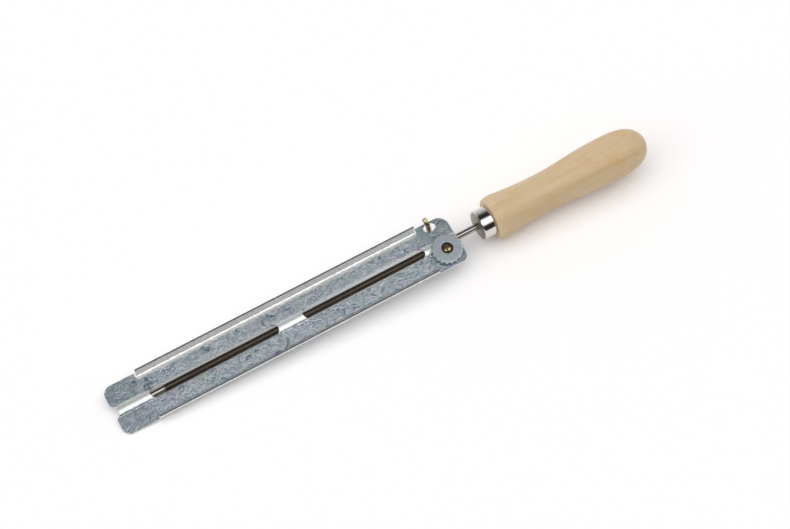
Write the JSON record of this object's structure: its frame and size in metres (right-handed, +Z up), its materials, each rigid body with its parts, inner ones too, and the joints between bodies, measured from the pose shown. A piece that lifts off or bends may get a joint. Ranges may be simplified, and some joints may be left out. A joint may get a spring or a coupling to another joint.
{
  "type": "chainsaw file guide",
  "caption": "Pressed steel guide plate with slots and turned-up sides over a round file, held by a wire clamp with a serrated nut, with a wooden handle.",
  "frame": {"origin": "On the table, under the middle of the bounding box: the tool lies as in the picture, on the handle's belly, the file's tip and the near corner of the far end.", "axes": "+X along the tool's ground line towards the handle, +Z up, +Y across, towards the side of the bail's free leg."},
  "size_m": [0.3818, 0.0358, 0.0337],
  "materials": {
    "galvanised_sheet": "hot-dip galvanised sheet with a blue-grey spangle",
    "socket_sheet": "zinc-plated sheet",
    "file_steel": "hardened file steel, cut teeth, dark",
    "plated_steel": "zinc-plated, dull",
    "yellow_zinc": "yellow zinc plate",
    "bright_cap": "bright nickel plate",
    "beech": "turned beech, thin clear coat"
  },
  "bodies": {
    "guide": {"guide_plate": "galvanised_sheet", "tip_socket": "socket_sheet"},
    "nut": {"wheel_nut": "plated_steel"},
    "bail": {"clamp_bail": "yellow_zinc"},
    "file": {"round_file": "file_steel", "ferrule": "bright_cap", "handle": "beech"}
  },
  "joints": [
    {"name": "wheel_turn", "type": "hinge", "parent": "guide", "child": "nut", "pos_m": [0.03972, -0.00597, 0.01565], "axis": [-0.0472, -0.1914, 0.9804], "range_deg": [0, 540]},
    {"name": "bail_slide", "type": "slide", "parent": "guide", "child": "bail", "axis": [-0.0472, -0.1914, 0.9804], "range_m": [-0.00105, 0]},
    {"name": "file_slide", "type": "slide", "parent": "guide", "child": "file", "axis": [0.9988, 0, 0.0481], "range_m": [0, 0.23]}
  ],
  "couplings": [
    {"joint": "bail_slide", "follows": "wheel_turn", "m_per_rad": -0.0001114}
  ]
}
